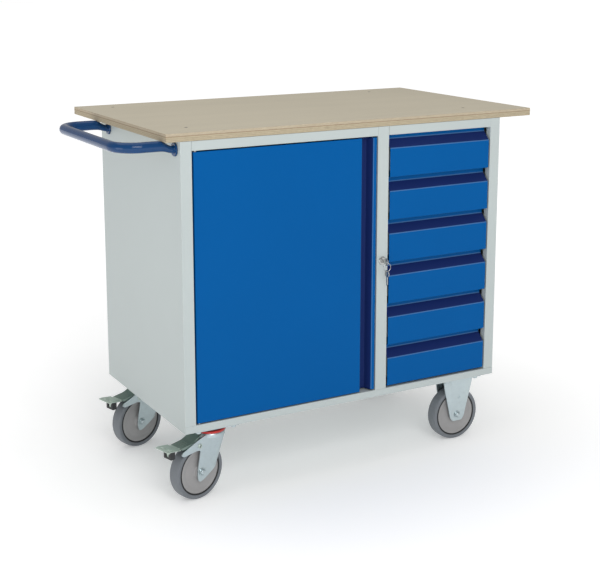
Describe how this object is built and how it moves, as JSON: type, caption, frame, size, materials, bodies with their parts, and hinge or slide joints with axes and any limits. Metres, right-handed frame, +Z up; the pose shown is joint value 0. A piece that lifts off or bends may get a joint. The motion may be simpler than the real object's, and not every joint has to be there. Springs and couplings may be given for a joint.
{
  "type": "mobile workbench",
  "caption": "Rolling steel workbench with a plywood top, a cupboard with a hinged door, a stack of sliding drawers, a tubular push handle and braked swivel casters.",
  "frame": {"origin": "on the floor, under the middle of the whole object's box, from the handle to the worktop's right end and from the keys to the worktop's back edge", "axes": "+X to the right along the front, from the handle end to the drawer end; +Y from the front to the back; +Z up"},
  "size_m": [1.296, 0.7264, 1.011],
  "materials": {
    "grey_paint": "light grey powder coat, satin",
    "blue_paint": "gentian blue powder coat, smooth satin",
    "handle_paint": "deep blue powder coat, glossy",
    "plywood": "sealed plywood board, faint grain, light edges",
    "plated_steel": "bright plated steel",
    "lock_nickel": "nickel plated",
    "zinc_plate": "bright blue-tinted zinc plate",
    "grey_tyre": "grey thermoplastic rubber, matt",
    "wheel_plastic": "warm grey moulded plastic disc",
    "black_plastic": "black moulded plastic"
  },
  "bodies": {
    "cabinet": {"left_side_panel": "grey_paint", "right_side_panel": "grey_paint", "middle_partition": "grey_paint", "back_panel": "grey_paint", "floor_tray": "grey_paint", "door_top_rail": "grey_paint", "drawer_top_rail": "grey_paint", "worktop": "plywood", "worktop_screw_front_left": "plated_steel", "worktop_screw_back_left": "plated_steel", "worktop_screw_front_right": "plated_steel", "worktop_screw_back_right": "plated_steel", "cupboard_shelf": "grey_paint", "push_handle": "handle_paint", "left_runner_rack": "plated_steel", "right_runner_rack": "plated_steel", "door_hinge_pin_upper": "plated_steel", "door_hinge_pin_lower": "plated_steel", "lock_housing": "lock_nickel", "front_swivel_plate": "zinc_plate", "rear_swivel_plate": "zinc_plate", "front_fixed_fork": "zinc_plate", "rear_fixed_fork": "zinc_plate", "front_fixed_axle": "zinc_plate", "rear_fixed_axle": "zinc_plate"},
    "door": {"door_panel": "blue_paint"},
    "drawer_1": {"drawer_1_front": "blue_paint", "drawer_1_box": "grey_paint"},
    "drawer_2": {"drawer_2_front": "blue_paint", "drawer_2_box": "grey_paint"},
    "drawer_3": {"drawer_3_front": "blue_paint", "drawer_3_box": "grey_paint"},
    "drawer_4": {"drawer_4_front": "blue_paint", "drawer_4_box": "grey_paint"},
    "drawer_5": {"drawer_5_front": "blue_paint", "drawer_5_box": "grey_paint"},
    "drawer_6": {"drawer_6_front": "blue_paint", "drawer_6_box": "grey_paint"},
    "lock_plug": {"lock_plug": "lock_nickel", "lock_key": "lock_nickel"},
    "key_ring": {"key_ring": "lock_nickel", "spare_key": "lock_nickel"},
    "lock_bar": {"lock_bar": "plated_steel"},
    "front_swivel": {"front_swivel_fork": "zinc_plate", "front_swivel_axle": "zinc_plate"},
    "front_brake": {"front_brake_pedal": "zinc_plate", "front_pedal_tip": "black_plastic"},
    "front_swivel_wheel": {"front_swivel_tyre": "grey_tyre", "front_swivel_wheel_core": "wheel_plastic"},
    "front_fixed_wheel": {"front_fixed_tyre": "grey_tyre", "front_fixed_wheel_core": "wheel_plastic"},
    "rear_swivel": {"rear_swivel_fork": "zinc_plate", "rear_swivel_axle": "zinc_plate"},
    "rear_brake": {"rear_brake_pedal": "zinc_plate", "rear_pedal_tip": "black_plastic"},
    "rear_swivel_wheel": {"rear_swivel_tyre": "grey_tyre", "rear_swivel_wheel_core": "wheel_plastic"},
    "rear_fixed_wheel": {"rear_fixed_tyre": "grey_tyre", "rear_fixed_wheel_core": "wheel_plastic"}
  },
  "joints": [
    {"name": "door_hinge", "type": "hinge", "parent": "cabinet", "child": "door", "pos_m": [-0.44, -0.31875, 0.5945], "axis": [0, 0, -1], "range_deg": [0, 105]},
    {"name": "drawer_1_slide", "type": "slide", "parent": "cabinet", "child": "drawer_1", "axis": [0, -1, 0], "range_m": [0, 0.4]},
    {"name": "drawer_2_slide", "type": "slide", "parent": "cabinet", "child": "drawer_2", "axis": [0, -1, 0], "range_m": [0, 0.4]},
    {"name": "drawer_3_slide", "type": "slide", "parent": "cabinet", "child": "drawer_3", "axis": [0, -1, 0], "range_m": [0, 0.4]},
    {"name": "drawer_4_slide", "type": "slide", "parent": "cabinet", "child": "drawer_4", "axis": [0, -1, 0], "range_m": [0, 0.4]},
    {"name": "drawer_5_slide", "type": "slide", "parent": "cabinet", "child": "drawer_5", "axis": [0, -1, 0], "range_m": [0, 0.4]},
    {"name": "drawer_6_slide", "type": "slide", "parent": "cabinet", "child": "drawer_6", "axis": [0, -1, 0], "range_m": [0, 0.4]},
    {"name": "lock_turn", "type": "hinge", "parent": "cabinet", "child": "lock_plug", "pos_m": [0.131, -0.32675, 0.607], "axis": [0, 1, 0], "range_deg": [0, 90]},
    {"name": "lock_bar_slide", "type": "slide", "parent": "cabinet", "child": "lock_bar", "axis": [0, 0, 1], "range_m": [0, 0.01131]},
    {"name": "key_ring_swing", "type": "hinge", "parent": "lock_plug", "child": "key_ring", "pos_m": [0.131, -0.35225, 0.60425], "axis": [1, 0, 0], "range_deg": [-60, 12]},
    {"name": "front_swivel_turn", "type": "hinge", "parent": "cabinet", "child": "front_swivel", "pos_m": [-0.384, -0.26475, 0.18], "axis": [0, 0, 1], "continuous": true},
    {"name": "front_swivel_wheel_spin", "type": "hinge", "parent": "front_swivel", "child": "front_swivel_wheel", "pos_m": [-0.4323, -0.27769, 0.08], "axis": [-0.2588, 0.9659, 0], "continuous": true},
    {"name": "front_brake_press", "type": "hinge", "parent": "front_swivel", "child": "front_brake", "pos_m": [-0.43906, -0.2795, 0.156], "axis": [0.2588, -0.9659, 0], "range_deg": [0, 8]},
    {"name": "front_fixed_wheel_spin", "type": "hinge", "parent": "cabinet", "child": "front_fixed_wheel", "pos_m": [0.435, -0.26475, 0.08], "axis": [0, 1, 0], "continuous": true},
    {"name": "rear_swivel_turn", "type": "hinge", "parent": "cabinet", "child": "rear_swivel", "pos_m": [-0.384, 0.16325, 0.18], "axis": [0, 0, 1], "continuous": true},
    {"name": "rear_swivel_wheel_spin", "type": "hinge", "parent": "rear_swivel", "child": "rear_swivel_wheel", "pos_m": [-0.4323, 0.15031, 0.08], "axis": [-0.2588, 0.9659, 0], "continuous": true},
    {"name": "rear_brake_press", "type": "hinge", "parent": "rear_swivel", "child": "rear_brake", "pos_m": [-0.43906, 0.1485, 0.156], "axis": [0.2588, -0.9659, 0], "range_deg": [0, 8]},
    {"name": "rear_fixed_wheel_spin", "type": "hinge", "parent": "cabinet", "child": "rear_fixed_wheel", "pos_m": [0.435, 0.16325, 0.08], "axis": [0, 1, 0], "continuous": true}
  ],
  "couplings": [
    {"joint": "lock_turn", "follows": "lock_bar_slide", "rad_per_m": 138.84}
  ]
}
